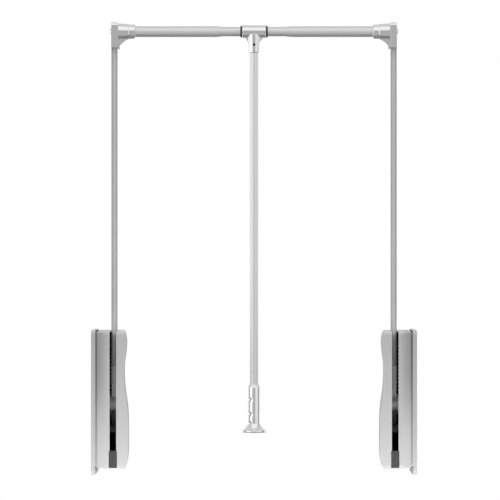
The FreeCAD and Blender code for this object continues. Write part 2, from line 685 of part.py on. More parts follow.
keep_pair(less("base_open", base_walls, base_room, base_step_room, slot_cut, pad_box), "housing_base")
keep_pair(block("pad", ("arm_x - pad_width / 2", "-unit_depth / 2 + shell_side_gap / 2", "pad_z"),
                "pad_width", "pad_depth - shell_side_gap / 2", "pad_height"), "slot_pad")

# The cover: a wavy front outline, cut to the same round edges as the base, hollowed out.


def wave(inset):
    """Front outline of the cover, its room side in tangent arcs, pulled in by an inset."""
    swell = "(belly_reach - foot_reach)"
    sway = "(belly_reach - waist_reach)"
    bend = "(crest_reach - waist_reach)"
    crown = "(crest_reach - top_reach)"
    return [
        ("0", f"shell_foot_gap + {inset}"),
        (f"foot_reach - {inset} - arm_offset", f"shell_foot_gap + {inset}",
         f"((belly_low - {inset}) ^ 2 + {swell} ^ 2) / (2 * {swell})"),
        (f"belly_reach - {inset} - arm_offset", "belly_low_z"),
        (f"belly_reach - {inset} - arm_offset", "belly_high_z",
         f"((waist_z - belly_high_z) ^ 2 + {sway} ^ 2) / (4 * {sway})"),
        (f"(belly_reach + waist_reach) / 2 - {inset} - arm_offset", "(belly_high_z + waist_z) / 2",
         f"-((waist_z - belly_high_z) ^ 2 + {sway} ^ 2) / (4 * {sway})"),
        (f"waist_reach - {inset} - arm_offset", "waist_z",
         f"-((crest_z - waist_z) ^ 2 + {bend} ^ 2) / (4 * {bend})"),
        (f"(waist_reach + crest_reach) / 2 - {inset} - arm_offset", "(waist_z + crest_z) / 2",
         f"((crest_z - waist_z) ^ 2 + {bend} ^ 2) / (4 * {bend})"),
        (f"crest_reach - {inset} - arm_offset", "crest_z",
         f"((crest_drop - {inset}) ^ 2 + {crown} ^ 2) / (2 * {crown})"),
        (f"top_reach - {inset} - arm_offset", f"shell_top - {inset}"),
        ("0", f"shell_top - {inset}"),
    ]


LEANING = Rotation(Vector(0, 0, 1), mm("cover_lean")) * FRONT_VIEW
leaning_foot = ("arm_x - (unit_depth + shell_half) * tan(cover_lean)", "unit_depth", "0")
cover_front = drawn("cover_front", LEANING, leaning_foot, wave("0"), "2 * unit_depth")
cover_side = drawn("cover_side", SIDE_VIEW, ("slot_room_x", "0", "0"),
                   rounded("-shell_half", "shell_half", "shell_foot_gap", "shell_top", "shell_corner"),
                   "belly_reach")
cover_block = shared("cover_block", cover_front, cover_side)
doc.recompute()
room_edges = []
for index, edge in enumerate(cover_block.Shape.Edges, 1):
    sides = cover_block.Shape.ancestorsOfType(edge, Part.Face)
    facing = []
    for face in sides:
        low_u, high_u, low_v, high_v = face.ParameterRange
        facing.append(abs(face.normalAt((low_u + high_u) / 2, (low_v + high_v) / 2).x) > 0.7)
    if facing.count(True) == 1 and edge.BoundBox.XMin > mm("slot_room_x + " + OVERRUN):
        room_edges.append((index, mm("cover_edge"), mm("cover_edge")))
cover_round = doc.addObject("Part::Fillet", "cover_round")
cover_round.Base = cover_block
cover_round.Edges = room_edges
cover_room_front = drawn("cover_room_front", LEANING, leaning_foot, wave("shell_wall"), "2 * unit_depth")
cover_room_side = drawn("cover_room_side", SIDE_VIEW, ("slot_room_x - " + OVERRUN, "0", "0"), rounded(
    "(-shell_half + shell_wall)", "(shell_half - shell_wall)", "(shell_foot_gap + shell_wall)",
    "(shell_top - shell_wall)", "(shell_corner - shell_wall)"), "belly_reach")
cover_room = shared("cover_room", cover_room_front, cover_room_side)
cover_bosses, cover_pegs = [], []
for spot_y, spot_z in peg_spots:
    cover_bosses.append(bar("cover_boss", BAR_X, ("bearing_face_x", spot_y, spot_z),
                            "boss_diameter / 2", "belly_reach"))
    cover_pegs.append(bar("cover_peg", BAR_X, ("bearing_x", spot_y, spot_z),
                          "peg_diameter / 2", "2 * bearing_sheet"))
cover_stalks = shared("cover_stalks", cover_round, joined("cover_boss_pair", *cover_bosses))
cover_shell = less("cover_shell", cover_round, cover_room, pad_box)
keep_pair(joined("cover", cover_shell, cover_stalks, *cover_pegs), "housing_cover")

# The arm casting: hub, neck, collar, spigot and an involute cam.


def cam_shape():
    """The cam flank is an involute, so its lift grows evenly with the turn of the arm."""
    pivot = Vector(mm("arm_x - cam_width / 2"), 0, mm("pivot_height"))
    radius, start = mm("cam_radius"), mm("cam_start")
    over_travel = 4
    steps = 14
    flank = []
    for step in range(steps + 1):
        turn = math.radians((mm("swing_angle") + over_travel) * step / steps)
        facing = math.pi / 2 - turn
        lift = start + radius * turn
        flank.append(pivot + Vector(0, lift * math.cos(facing) + radius * math.sin(facing),
                                    lift * math.sin(facing) - radius * math.cos(facing)))
    curve = Part.BSplineCurve()
    curve.interpolate(flank)
    below = pivot + Vector(0, 0, -mm("hub_diameter / 2 - " + OVERRUN))
    above = pivot + Vector(0, 0, start)
    edges = [curve.toShape(), Part.makeLine(flank[-1], below), Part.makeLine(below, above),
             Part.makeLine(above, flank[0])]
    return Part.Face(Part.Wire(edges)).extrude(Vector(mm("cam_width"), 0, 0))


cam = shaped("cam", cam_shape())
hub = bar("hub", BAR_X, ("arm_x - hub_length / 2", "0", "pivot_height"), "hub_diameter / 2", "hub_length")
neck = block("neck", ("arm_x - neck_width / 2", "-neck_depth / 2", "pivot_height"),
             "neck_width", "neck_depth", "collar_rise + " + OVERRUN)
collar_half = "(arm_width / 2 + slot_play - collar_play)"
collar = drawn("collar", TOP_VIEW, ("arm_x", "0", "collar_z"), stadium(collar_half, "(collar_depth / 2)"),
               "collar_length")
spigot_half = "(arm_width / 2 - arm_wall)"
spigot = drawn("spigot", TOP_VIEW, ("arm_x", "0", "arm_foot_z - " + OVERRUN),
               stadium(spigot_half, "(arm_depth / 2 - arm_wall)"), "spigot_length + " + OVERRUN)
hub_bore = bar("hub_bore", BAR_X, ("arm_x - hub_length", "0", "pivot_height"),
               "axle_diameter / 2 + running_gap + bush_wall", "2 * hub_length")
rivet_heights = ["arm_foot_z + spigot_length / 2 - rivet_step / 2",
                 "arm_foot_z + spigot_length / 2 + rivet_step / 2"]
rivets = [bar("rivet", BAR_X, ("arm_x - arm_width / 2", "0", height), "rivet_diameter / 2", "arm_width")
          for height in rivet_heights]
hub_parts = joined("hub_parts", cam, hub, neck, collar, spigot)
keep_pair(less("hub_casting", hub_parts, hub_bore, *rivets), "arm_hub")
keep_pair(group("rivet_set", *rivets), "arm_rivets")

bush_profile = [
    ("0", "axle_diameter / 2 + running_gap"),
    ("bush_flange + bush_length", "axle_diameter / 2 + running_gap"),
    ("bush_flange + bush_length", "axle_diameter / 2 + running_gap + bush_wall"),
    ("bush_flange", "axle_diameter / 2 + running_gap + bush_wall"),
    ("bush_flange", "bush_flange_diameter / 2"),
    ("0", "bush_flange_diameter / 2"),
]
bush_wall_side = turned("bush_wall_side", ALONG_X,
                        ("arm_x - hub_length / 2 - bush_flange", "0", "pivot_height"), bush_profile)
bush_room_side = turned("bush_room_side", Rotation(Vector(0, 0, 1), 180),
                        ("arm_x + hub_length / 2 + bush_flange", "0", "pivot_height"), bush_profile)
keep_pair(group("bush_set", bush_wall_side, bush_room_side), "hub_bushes")

# The spring strut: follower and piston rod below, damper cylinder and spring above, hung on a pin.

foot = block("foot", ("arm_x - foot_width / 2", "foot_front", "foot_z"),
             "foot_width", "strut_back + seat_diameter / 2 - foot_front", "foot_height")
seat = bar("seat", BAR_Z, ("arm_x", "strut_back", "foot_z + foot_height / 2"), "seat_diameter / 2",
           "foot_height / 2 + seat_height")
seat_hole = bar("seat_hole", BAR_Z, ("arm_x", "strut_back", "foot_z + foot_height"),
                "piston_rod_diameter / 2", "2 * seat_height")
keep_pair(less("follower", joined("follower_parts", foot, seat), seat_hole), "cam_follower")
piston_radius = "damper_diameter / 2 - damper_wall - running_gap"
keep_pair(turned("piston", ALONG_Z, ("arm_x", "strut_back", "foot_z + foot_height"), [
    ("0", "0"),
    ("piston_top_z - foot_z - foot_height", "0"),
    ("piston_top_z - foot_z - foot_height", piston_radius),
    ("piston_top_z - foot_z - foot_height - piston_height", piston_radius),
    ("piston_top_z - foot_z - foot_height - piston_height", "piston_rod_diameter / 2"),
    ("0", "piston_rod_diameter / 2"),
]), "piston_rod")
barrel = turned("barrel", DOWN, ("arm_x", "strut_back", "spring_top_z + damper_end"), [
    ("0", "0"),
    ("2 * damper_end", "0"),
    ("2 * damper_end", "damper_diameter / 2 - damper_wall"),
    ("damper_length", "damper_diameter / 2 - damper_wall"),
    ("damper_length", "piston_rod_diameter / 2 + running_gap"),
    ("damper_length + damper_end", "piston_rod_diameter / 2 + running_gap"),
    ("damper_length + damper_end", "damper_diameter / 2"),
    ("damper_end", "damper_diameter / 2"),
    ("damper_end", "seat_diameter / 2"),
    ("0", "seat_diameter / 2"),
])
lug = block("lug", ("arm_x - lug_width / 2", "strut_back - lug_width / 2", "spring_top_z + damper_end"),
            "lug_width", "lug_width", "lug_rise")
lug_eye = bar("lug_eye", BAR_X, ("arm_x - lug_width / 2", "strut_back", "pin_z"), "lug_width / 2",
              "lug_width")
pin_hole = bar("pin_hole", BAR_X, ("arm_x - lug_width", "strut_back", "pin_z"), "pin_diameter / 2",
               "2 * lug_width")
keep_pair(less("damper", joined("damper_parts", barrel, lug, lug_eye), pin_hole), "damper_cylinder")
keep_pair(bar("strut_pin_bar", BAR_X, ("sheet_x", "strut_back", "pin_z"), "pin_diameter / 2",
              "pillar_length + bearing_sheet"), "strut_pin")


def biarc(start, start_way, end, end_way):
    """Two tangent arcs between two points with given directions."""
    span = end - start
    ways = start_way + end_way
    bend = 2 * (1 - start_way.dot(end_way))
    along = span.dot(ways)
    reach = (math.sqrt(along ** 2 + bend * span.dot(span)) - along) / bend
    meet = (start + start_way * reach + end - end_way * reach) / 2
    arcs = []
    for first, way, last in ((start, start_way, meet), (end, end_way * -1, meet)):
        chord = last - first
        middle = Vector(way + Vector(chord).normalize()).normalize()
        half = chord.getAngle(way) / 2
        through = first + middle * (chord.Length / (2 * math.cos(half)))
        arcs.append(Part.Arc(first, through, last).toShape())
    return arcs


def spring_shape():
    """A round wire wound between the two spring seats, in biarcs of a quarter turn."""
    mean, wire = mm("spring_mean / 2"), mm("spring_wire / 2")
    turns, rest = mm("spring_turns"), mm("spring_rest")
    low = mm("seat_z") + wire + rest
    rise = mm("spring_length") - 2 * (wire + rest)
    axis = Vector(mm("arm_x"), mm("strut_back"), low)
    quarters = int(round(turns * 4))
    edges = []
    points, ways = [], []
    for quarter in range(quarters + 1):
        angle = quarter * math.pi / 2
        height = rise * quarter / quarters
        points.append(axis + Vector(mean * math.cos(angle), mean * math.sin(angle), height))
        way = Vector(-mean * math.sin(angle), mean * math.cos(angle), rise / quarters * 2 / math.pi)
        ways.append(way.normalize())
    for quarter in range(quarters):
        edges.extend(biarc(points[quarter], ways[quarter], points[quarter + 1], ways[quarter + 1]))
    section = Part.Wire(Part.makeCircle(wire, points[0], ways[0]))
    print("spring turns stay apart by", round(rise / turns - 2 * wire, 2), "mm")
    return Part.Wire(Part.sortEdges(edges)[0]).makePipeShell([section], True, False)


keep_pair(shaped("spring", spring_shape()), "balance_spring")

# The arm: a flat oval tube from the collar to the corner head.

arm_tube = drawn("arm_tube", TOP_VIEW, ("arm_x", "0", "arm_foot_z"),
                 stadium("(arm_width / 2)", "(arm_depth / 2)"), "head_foot_z - arm_foot_z")
arm_bore = drawn("arm_bore", TOP_VIEW, ("arm_x", "0", "arm_foot_z - " + OVERRUN),
                 stadium(spigot_half, "(arm_depth / 2 - arm_wall)"),
                 "head_foot_z - arm_foot_z + 2 * " + OVERRUN)
keep_pair(less("arm", arm_tube, arm_bore, *rivets), "lift_arm")

# The corner: a head on the arm, a tube socket against it, one domed screw through both.

head_plate = drawn("head_plate", SIDE_VIEW, ("head_out_x", "0", "0"), rounded(
    "-head_depth / 2", "head_depth / 2", "head_foot_z", "head_top_z", "head_round"), "arm_width")
head_spigot = drawn("head_spigot", TOP_VIEW, ("arm_x", "0", "head_foot_z - spigot_length"),
                    stadium(spigot_half, "(arm_depth / 2 - arm_wall)"), "spigot_length + " + OVERRUN)
head_hole = bar("head_hole", BAR_X, ("head_out_x - " + OVERRUN, "0", "rod_height"),
                "corner_screw_diameter / 2", "arm_width + 2 * " + OVERRUN)
keep_pair(less("head", joined("head_parts", head_plate, head_spigot), head_hole), "corner_head")
keep_pair(turned("corner_bolt", ALONG_X, ("head_out_x", "0", "rod_height"), [
    ("-dome_rise", "0"),
    ("arm_width + socket_base - screw_floor", "0"),
    ("arm_width + socket_base - screw_floor", "corner_screw_diameter / 2"),
    ("0", "corner_screw_diameter / 2"),
    ("0", "dome_diameter / 2"),
    ("-dome_rim", "dome_diameter / 2",
     "((dome_diameter / 2) ^ 2 + (dome_rise - dome_rim) ^ 2) / (2 * (dome_rise - dome_rim))"),
]), "corner_screw")

socket_flange = drawn("socket_flange", SIDE_VIEW, ("head_in_x", "0", "0"), rounded(
    "(-head_depth / 2 + flange_inset)", "(head_depth / 2 - flange_inset)", "(head_foot_z + flange_inset)",
    "(head_top_z - flange_inset)", "(head_round - flange_inset)"), "flange_sheet")
socket_cone = turned("socket_cone", ALONG_X, ("head_in_x", "0", "rod_height"), [
    ("0", "0"),
    ("socket_reach", "0"),
    ("socket_reach", "socket_mouth / 2 - edge_break"),
    ("socket_reach - edge_break", "socket_mouth / 2"),
    ("socket_step + step_run", "socket_mouth / 2 + mouth_draft"),
    ("socket_step", "socket_waist / 2"),
    ("flange_sheet", "socket_root / 2"),
    ("0", "socket_root / 2"),
])
gusset = drawn("gusset", FRONT_VIEW, ("head_in_x", "gusset_width / 2", "0"), [
    ("0", "head_foot_z"),
    ("gusset_foot", "head_foot_z"),
    ("gusset_foot", "head_foot_z + gusset_rise", "-gusset_radius"),
    ("socket_step", "rod_height - socket_waist / 2"),
    ("socket_reach - 2 * edge_break", "rod_height - socket_mouth / 2"),
    ("socket_reach - 2 * edge_break", "rod_height"),
    ("0", "rod_height"),
], "gusset_width")
socket_bore = bar("socket_bore", BAR_X, ("tube_x", "0", "rod_height"), "tube_diameter / 2", "socket_reach")
socket_hole = bar("socket_hole", BAR_X, ("head_in_x - " + OVERRUN, "0", "rod_height"),
                  "corner_screw_diameter / 2", "socket_base - screw_floor + " + OVERRUN)
socket_parts = joined("socket_parts", socket_flange, socket_cone, gusset)
keep_pair(less("socket", socket_parts, socket_bore, socket_hole), "tube_socket")

keep_pair(turned("tube", ALONG_X, ("tube_x", "0", "rod_height"), [
    ("0", "tube_diameter / 2 - tube_wall"),
    ("tube_length", "tube_diameter / 2 - tube_wall"),
    ("tube_length", "tube_diameter / 2 - tube_wall + tube_lip"),
    ("tube_length - tube_taper", "tube_diameter / 2"),
    ("0", "tube_diameter / 2"),
]), "hang_tube")

# The inner tube, its end glides, and the tee that turns on two black bushes.

keep(turned("rod", ALONG_X, ("-rod_half", "0", "rod_height"), [
    ("0", "rod_diameter / 2 - rod_wall"),
    ("2 * rod_half", "rod_diameter / 2 - rod_wall"),
    ("2 * rod_half", "rod_diameter / 2"),
    ("0", "rod_diameter / 2"),
]), "centre_tube")
glide = turned("glide", ALONG_X, ("-rod_half", "0", "rod_height"), [
    ("-glide_flange", "0"),
    ("glide_length", "0"),
    ("glide_length", "rod_diameter / 2 - rod_wall"),
    ("0", "rod_diameter / 2 - rod_wall"),
    ("0", "tube_diameter / 2 - tube_wall - running_gap"),
    ("-glide_flange", "tube_diameter / 2 - tube_wall - running_gap"),
])
keep(group("glide_set", glide, mirror("glide_twin", glide)), "rod_end_glides")
tee_bush = turned("tee_bush", ALONG_X, ("-tee_length / 2 - face_gap - tee_bush_flange", "0", "rod_height"), [
    ("0", "rod_diameter / 2"),
    ("tee_bush_flange + tee_bush_length", "rod_diameter / 2"),
    ("tee_bush_flange + tee_bush_length", "tee_bore / 2 - running_gap"),
    ("tee_bush_flange", "tee_bore / 2 - running_gap"),
    ("tee_bush_flange", "tee_bush_ring / 2"),
    ("edge_break", "tee_bush_ring / 2"),
    ("0", "tee_bush_ring / 2 - edge_break"),
])
keep(group("tee_bush_set", tee_bush, mirror("tee_bush_twin", tee_bush)), "tee_bushes")

sleeve = turned("sleeve", ALONG_X, ("-tee_length / 2", "0", "rod_height"), [
    ("0", "0"),
    ("tee_length", "0"),
    ("tee_length", "tee_diameter / 2 - edge_break"),
    ("tee_length - edge_break", "tee_diameter / 2"),
    ("edge_break", "tee_diameter / 2"),
    ("0", "tee_diameter / 2 - edge_break"),
])
stem = turned("stem", DOWN, ("0", "0", "rod_height"), [
    ("0", "0"),
    ("stem_drop", "0"),
    ("stem_drop", "stem_foot / 2 - edge_break"),
    ("stem_drop - edge_break", "stem_foot / 2"),
    ("tee_bore / 2", "stem_top / 2"),
    ("0", "stem_top / 2"),
])
webs = drawn("webs", FRONT_VIEW, ("0", "web_width / 2", "0"), [
    ("-stem_foot / 2", "rod_height - web_drop"),
    ("stem_foot / 2", "rod_height - web_drop", "-web_radius"),
    ("web_reach", "rod_height - tee_bore / 2"),
    ("web_reach", "rod_height"),
    ("-web_reach", "rod_height"),
    ("-web_reach", "rod_height - tee_bore / 2", "-web_radius"),
], "web_width")
stem_zone = block("stem_zone", ("-tee_length", "-tee_length", "rod_height - 2 * stem_drop"),
                  "2 * tee_length", "2 * tee_length", "2 * stem_drop - tee_diameter / 4")
stem_low = shared("stem_low", stem, stem_zone)
tee_hole = bar("tee_hole", BAR_X, ("-tee_length", "0", "rod_height"), "tee_bore / 2", "2 * tee_length")
stem_bore = bar("stem_bore", BAR_Z, ("0", "0", "rod_height - 2 * stem_drop"), "handle_diameter / 2",
                "2 * stem_drop - handle_top_drop")
tee_screw_hole = bar("tee_screw_hole", BAR_Y, ("0", "-stem_top", "rod_height - tee_screw_drop"),
                     "tee_screw_diameter / 2", "stem_top - handle_diameter / 2 + handle_wall")
keep(less("tee", joined("tee_parts", sleeve, stem_low, webs), tee_hole, stem_bore, tee_screw_hole),
     "tee_connector")
keep(bar("tee_grub", BAR_Y, ("0", "-stem_foot / 2 - tee_screw_proud", "rod_height - tee_screw_drop"),
         "tee_screw_diameter / 2", "stem_foot / 2 + tee_screw_proud - handle_diameter / 2 + handle_wall"),
     "tee_screw")

pull_tube = turned("pull_tube", ALONG_Z, ("0", "0", "handle_foot_z"), [
    ("0", "handle_diameter / 2 - handle_wall"),
    ("handle_top_z - handle_foot_z", "handle_diameter / 2 - handle_wall"),
    ("handle_top_z - handle_foot_z", "handle_diameter / 2"),
    ("0", "handle_diameter / 2"),
])
keep(less("pull_drilled", pull_tube, tee_screw_hole), "pull_rod")

# The grip: a turned body with a flared foot and three finger grooves set over to the left.

grip_body = turned("grip_body", ALONG_Z, ("0", "0", "grip_foot"), [
    ("0", "0"),
    ("grip_height", "0"),
    ("grip_height", "handle_diameter / 2 + grip_lip", "-grip_dome"),
    ("grip_height - grip_dome", "grip_diameter / 2"),
    ("flare_height", "grip_diameter / 2", "-flare_hollow"),
    ("rim_height", "flare_diameter / 2"),
    ("rim_height", "rim_diameter / 2 - edge_break"),
    ("rim_height - edge_break", "rim_diameter / 2"),
    ("edge_break", "rim_diameter / 2"),
    ("0", "rim_diameter / 2 - edge_break"),
])
grip_bore = bar("grip_bore", BAR_Z, ("0", "0", "handle_foot_z"), "handle_diameter / 2", "grip_height")
grip_grooves = []
for level in ("groove_low", "groove_mid", "groove_high"):
    ring = doc.addObject("Part::Torus", "finger_groove")
    reach = "grip_diameter / 2 + groove_round - groove_reach * (1 - groove_shift)"
    ring.setExpression("Radius1", bound(reach))
    ring.setExpression("Radius2", bound("groove_round"))
    place(ring, Rotation(), ("groove_reach * groove_shift", "0", "grip_foot + " + level))
    grip_grooves.append(ring)
keep(less("grip_cut", grip_body, grip_bore, *grip_grooves), "grip")

doc.recompute()

for thing in doc.Objects:
    if "Invalid" in thing.State or "Error" in thing.State:
        raise RuntimeError(f"{thing.Label} did not come out: {thing.State}")
    if hasattr(thing, "Shape") and thing.TypeId != "Sketcher::SketchObject":
        if thing.Shape.isNull() or not thing.Shape.isValid():
            raise RuntimeError(f"{thing.Label} has no valid shape")

os.makedirs("parts", exist_ok=True)
for thing in nodes:
    thing.Shape.exportStep(f"parts/{thing.Label}.step")
    solids = thing.Shape.Solids
    print(thing.Label, len(solids), "solids", round(thing.Shape.Volume), "mm3")
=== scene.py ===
"""Looks of the pull down closet rod: finishes, soft edges, springs, screws, grip, light and camera."""
import json
import math

import bmesh
import bpy
from mathutils import Matrix, Vector
from mathutils.bvhtree import BVHTree


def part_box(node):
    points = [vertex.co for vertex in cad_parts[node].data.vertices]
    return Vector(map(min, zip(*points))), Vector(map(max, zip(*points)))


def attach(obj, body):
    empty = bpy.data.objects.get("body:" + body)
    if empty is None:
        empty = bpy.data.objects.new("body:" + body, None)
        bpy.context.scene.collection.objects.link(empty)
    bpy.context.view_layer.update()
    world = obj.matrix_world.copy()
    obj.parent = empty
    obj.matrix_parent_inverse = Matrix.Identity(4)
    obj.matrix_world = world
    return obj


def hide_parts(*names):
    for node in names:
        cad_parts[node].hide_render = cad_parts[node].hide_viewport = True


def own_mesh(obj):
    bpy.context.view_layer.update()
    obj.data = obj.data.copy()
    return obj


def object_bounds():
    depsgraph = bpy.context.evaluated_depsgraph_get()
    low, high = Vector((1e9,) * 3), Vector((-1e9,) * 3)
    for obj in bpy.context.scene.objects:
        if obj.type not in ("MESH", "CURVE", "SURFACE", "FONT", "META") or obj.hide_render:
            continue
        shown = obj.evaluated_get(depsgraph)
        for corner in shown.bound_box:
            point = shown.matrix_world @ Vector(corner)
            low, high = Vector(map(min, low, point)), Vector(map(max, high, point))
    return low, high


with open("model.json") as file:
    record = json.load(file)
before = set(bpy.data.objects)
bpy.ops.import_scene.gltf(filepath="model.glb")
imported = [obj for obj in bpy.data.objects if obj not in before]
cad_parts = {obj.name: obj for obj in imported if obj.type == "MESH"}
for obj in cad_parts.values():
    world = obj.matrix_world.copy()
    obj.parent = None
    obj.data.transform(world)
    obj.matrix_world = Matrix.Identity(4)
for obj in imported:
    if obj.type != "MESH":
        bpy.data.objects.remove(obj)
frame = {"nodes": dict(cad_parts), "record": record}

cad_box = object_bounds()
nodes = frame["nodes"]
slot_of = {part["node"]: part["material_slot"] for part in frame["record"]["subparts"]}
MM = 0.001
WALL_FACE = cad_box[1][0]
FACET_SAG = 0.2 * MM
SIDES = ("left", "right")


class Wire:
    """A node socket that takes part in plain arithmetic."""

    def __init__(self, graph, socket):
        self.graph = graph
        self.socket = socket

    def combine(self, operation, first, second):
        return self.graph.node("ShaderNodeMath", {"operation": operation}, {0: first, 1: second})

    def __add__(self, other):
        return self.combine("ADD", self, other)

    def __radd__(self, other):
        return self.combine("ADD", other, self)

    def __sub__(self, other):
        return self.combine("SUBTRACT", self, other)

    def __rsub__(self, other):
        return self.combine("SUBTRACT", other, self)

    def __mul__(self, other):
        return self.combine("MULTIPLY", self, other)

    def __rmul__(self, other):
        return self.combine("MULTIPLY", other, self)


class Graph:
    """A node tree under construction: a material, the world, or a rule for a shape."""

    def __init__(self, tree):
        self.tree = tree
        self.tree.nodes.clear()

    def node(self, kind, settings, sockets, output=0):
        """A node of one type: its settings first, then the values or links of its sockets."""
        made = self.tree.nodes.new(kind)
        for name, value in settings.items():
            setattr(made, name, value)
        for key, value in sockets.items():
            if isinstance(value, Wire):
                self.tree.links.new(value.socket, made.inputs[key])
            else:
                made.inputs[key].default_value = value
        return Wire(self, made.outputs[output]) if made.outputs else None

    def place(self, stretch=(1, 1, 1)):
        """Object coordinates, stretched where a pattern runs along a piece."""
        where = self.node("ShaderNodeTexCoord", {}, {}, "Object")
        return self.node("ShaderNodeMapping", {}, {"Vector": where, "Scale": stretch})

    def noise(self, where, scale, detail=2.0, roughness=0.5):
        return self.node("ShaderNodeTexNoise", {},
                         {"Vector": where, "Scale": scale, "Detail": detail, "Roughness": roughness}, "Fac")

    def tint(self, share, low, high):
        """A colour between two, by a share from 0 to 1."""
        return self.node("ShaderNodeMix", {"data_type": "RGBA"},
                         {"Factor": share, 6: (*low, 1.0), 7: (*high, 1.0)}, 2)

    def between(self, value, start, end, low, high):
        """A number that eases from low to high while a value goes from start to end."""
        return self.node("ShaderNodeMapRange", {"interpolation_type": "SMOOTHSTEP"},
                         {"Value": value, "From Min": start, "From Max": end,
                          "To Min": low, "To Max": high})

    def bump(self, height, depth, strength):
        return self.node("ShaderNodeBump", {}, {"Height": height, "Distance": depth, "Strength": strength})


def split(graph, vector):
    """The three numbers of a vector."""
    parts = graph.node("ShaderNodeSeparateXYZ", {}, {0: vector}).socket.node
    return [Wire(graph, parts.outputs[axis]) for axis in "XYZ"]


def grey(level):
    return (level, level, level * 1.01)


def finish(name, build, **fixed):
    """A material whose varying sockets come from a function and whose other sockets are plain numbers."""
    material = bpy.data.materials.new(name)
    material.use_nodes = True
    graph = Graph(material.node_tree)
    sockets = {key.replace("_", " "): value for key, value in fixed.items()}
    sockets.update(build(graph))
    surface = graph.node("ShaderNodeBsdfPrincipled", {}, sockets)
    graph.node("ShaderNodeOutputMaterial", {}, {"Surface": surface})
    return material


def satin(level, stretch, sheen):
    """Satin chrome: fine drawn lines along one direction and a slight cloud in the plating."""
    def build(graph):
        lines = graph.noise(graph.place(stretch), scale=1200.0, detail=3.0, roughness=0.6)
        cloud = graph.noise(graph.place(), scale=14.0)
        return {
            "Base Color": graph.tint(cloud * 0.6 + lines * 0.4, grey(level - 0.04), grey(level + 0.04)),
            "Roughness": lines * 0.1 + cloud * 0.06 + (sheen - 0.08),
            "Normal": graph.bump(lines, depth=0.00001, strength=0.4),
        }
    return build


def polished(level, sheen):
    """Polished chrome over a casting: a mirror with faint handling marks and a slight ripple."""
    def build(graph):
        smear = graph.noise(graph.place(), scale=70.0, detail=4.0, roughness=0.65)
        ripple = graph.noise(graph.place(), scale=120.0, detail=1.0)
        return {
            "Base Color": graph.tint(smear, grey(level - 0.03), grey(level + 0.02)),
            "Roughness": smear * 0.08 + (sheen - 0.04),
            "Normal": graph.bump(ripple, depth=0.00002, strength=0.3),
        }
    return build


def lacquer(level, sheen, metal):
    """Silver lacquer: metal flake under a satin coat, with a faint orange peel."""
    def build(graph):
        flake = graph.noise(graph.place(), scale=3200.0, detail=1.0)
        peel = graph.noise(graph.place(), scale=420.0)
        cloud = graph.noise(graph.place(), scale=9.0)
        return {
            "Base Color": graph.tint(flake * 0.6 + cloud * 0.4, grey(level - 0.05), grey(level + 0.05)),
            "Roughness": flake * 0.14 + cloud * 0.05 + (sheen - 0.1),
            "Metallic": flake * (2 * metal),
            "Normal": graph.bump(peel, depth=0.00003, strength=0.3),
        }
    return build


# Painted shade: the housing lacquer darkens towards its upper outer corner, between these bounds across and
# upward.
PAINTED_SHADE_ACROSS = (0.262, 0.289)
PAINTED_SHADE_UPWARD = (0.06, 0.2)
PAINTED_SHADE_MOST = 0.6
PAINTED_SHADE_DARKNESS = 0.45
# Painted shade: faces that look into a hollow get this near-black colour and roughness.
HOLLOW_SHADE_LEVELS = (0.012, 0.03)
HOLLOW_SHADE_ROUGHNESS = 0.7


def lacquered_shell(level, sheen, metal):
    """A silver lacquered moulding with painted shade: its faces that look into a hollow are painted near
    black, and its coat is painted darker towards the upper outer corner."""
    def build(graph):
        coat = lacquer(level, sheen, metal)(graph)
        across, _, upward = split(graph, graph.place())
        outward = graph.node("ShaderNodeMath", {"operation": "ABSOLUTE"}, {0: across})
        # Painted shade: the coat colour is darkened towards the upper outer corner.
        painted_shade = graph.between(outward, *PAINTED_SHADE_ACROSS, 0.0, PAINTED_SHADE_MOST)
        painted_shade = painted_shade * graph.between(upward, *PAINTED_SHADE_UPWARD, 0.0, 1.0)
        coat["Base Color"] = graph.node("ShaderNodeMix", {"data_type": "RGBA"}, {
            "Factor": painted_shade, 6: coat["Base Color"], 7: (*grey(level * PAINTED_SHADE_DARKNESS), 1.0)}, 2)
        # Painted shade: the faces marked as looking into a hollow are painted near black.
        hollow_shade = graph.node("ShaderNodeAttribute", {"attribute_name": "inside"}, {}, "Fac")
        grain = graph.noise(graph.place(), scale=900.0)
        hollow_shade_colour = graph.tint(grain, grey(HOLLOW_SHADE_LEVELS[0]), grey(HOLLOW_SHADE_LEVELS[1]))
        return {
            "Base Color": graph.node("ShaderNodeMix", {"data_type": "RGBA"},
                                     {"Factor": hollow_shade, 6: coat["Base Color"], 7: hollow_shade_colour}, 2),
            "Roughness": coat["Roughness"] + (HOLLOW_SHADE_ROUGHNESS - coat["Roughness"]) * hollow_shade,
            "Metallic": coat["Metallic"] * (1 - hollow_shade),
            "Normal": coat["Normal"],
        }
    return build


def moulded(level, sheen, grain):
    """Plastic, rubber or paint with the fine grain of its mould."""
    def build(graph):
        pits = graph.noise(graph.place(), scale=grain, detail=3.0, roughness=0.6)
        cloud = graph.noise(graph.place(), scale=20.0)
        return {
            "Base Color": graph.tint(pits * 0.5 + cloud * 0.5, grey(level * 0.85), grey(level * 1.15)),
            "Roughness": pits * 0.2 + (sheen - 0.1),
            "Normal": graph.bump(pits, depth=0.00006, strength=0.5),
        }
    return build


def casting(level, sheen):
    """Zinc as cast: a dull skin with flow marks and fine sand."""
    def build(graph):
        sand = graph.noise(graph.place(), scale=700.0, detail=4.0, roughness=0.7)
        flow = graph.noise(graph.place((1, 1, 0.4)), scale=60.0, detail=3.0)
        return {
            "Base Color": graph.tint(flow, grey(level - 0.08), grey(level + 0.06)),
            "Roughness": sand * 0.25 + (sheen - 0.12),
            "Normal": graph.bump(sand, depth=0.0001, strength=0.5),
        }
    return build


ALONG_X = (0.02, 1, 1)
ALONG_Z = (1, 1, 0.02)

